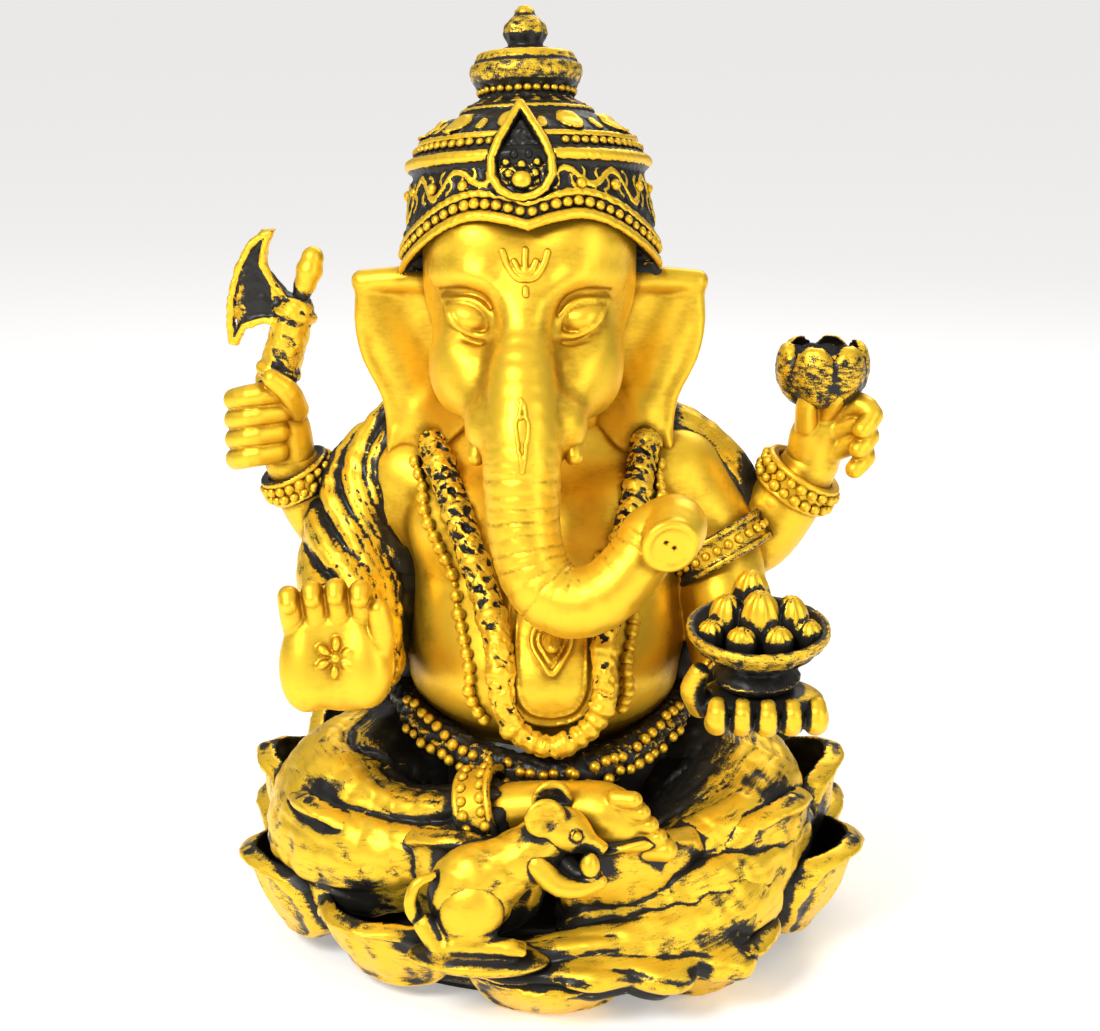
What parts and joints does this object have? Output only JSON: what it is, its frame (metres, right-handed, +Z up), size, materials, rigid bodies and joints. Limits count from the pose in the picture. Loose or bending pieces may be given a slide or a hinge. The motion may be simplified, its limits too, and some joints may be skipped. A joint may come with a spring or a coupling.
{
  "type": "ganesha idol",
  "caption": "Seated four-armed elephant-headed figure on a lotus seat, with axe, lotus, bowl of sweets and mouse, in antique gold resin.",
  "frame": {"origin": "centre of the face that the idol rests on, under the lotus seat", "axes": "+Z up through the crown; the figure faces -Y; +X is the figure's own left, on the viewer's right from the front"},
  "size_m": [0.2131, 0.1892, 0.3053],
  "materials": {
    "gold_skin": "metallic gold paint on cast resin, satin, with dark wash in the creases",
    "antique_gold": "black undercoat with metallic gold dry-brushed over the raised relief",
    "felt": "thin black felt",
    "filler": "unpainted casting resin in the pour hole"
  },
  "bodies": {
    "root": {"anklet": "antique_gold", "armlet": "antique_gold", "axe_head": "antique_gold", "axe_shaft": "antique_gold", "base_pad": "felt", "base_plug": "filler", "bead_necklaces": "antique_gold", "belly_panel": "antique_gold", "belly_pendant": "antique_gold", "crown_band": "antique_gold", "crown_beads": "antique_gold", "crown_dome": "antique_gold", "crown_finial": "antique_gold", "crown_jewel": "antique_gold", "crown_jewel_frame": "antique_gold", "crown_knob": "antique_gold", "crown_scrolls": "antique_gold", "dhoti_front_fold": "antique_gold", "forehead_mark": "antique_gold", "front_left_arm": "gold_skin", "front_left_bracelet": "antique_gold", "front_left_hand": "gold_skin", "front_right_arm": "gold_skin", "front_right_bracelet": "antique_gold", "front_right_hand": "gold_skin", "garland": "antique_gold", "head": "gold_skin", "hips": "antique_gold", "left_ear": "gold_skin", "left_leg": "antique_gold", "left_tusk": "antique_gold", "lotus_flower_cup": "antique_gold", "lotus_flower_petals": "antique_gold", "lotus_seat": "antique_gold", "mouse_body": "antique_gold", "mouse_forelegs": "antique_gold", "mouse_head": "antique_gold", "mouse_hind_legs": "antique_gold", "mouse_tail": "antique_gold", "petals_lower": "antique_gold", "petals_upper": "antique_gold", "rear_left_arm": "gold_skin", "rear_left_bracelet": "antique_gold", "rear_left_hand": "gold_skin", "rear_right_arm": "gold_skin", "rear_right_bracelet": "antique_gold", "rear_right_hand": "gold_skin", "right_ear": "gold_skin", "right_foot": "gold_skin", "right_leg": "antique_gold", "right_tusk": "antique_gold", "shawl_left": "antique_gold", "shawl_right": "antique_gold", "sweet_bowl": "antique_gold", "sweets": "antique_gold", "torso": "gold_skin", "trunk": "gold_skin", "trunk_mark": "antique_gold", "waist_belt": "antique_gold"}
  },
  "joints": []
}
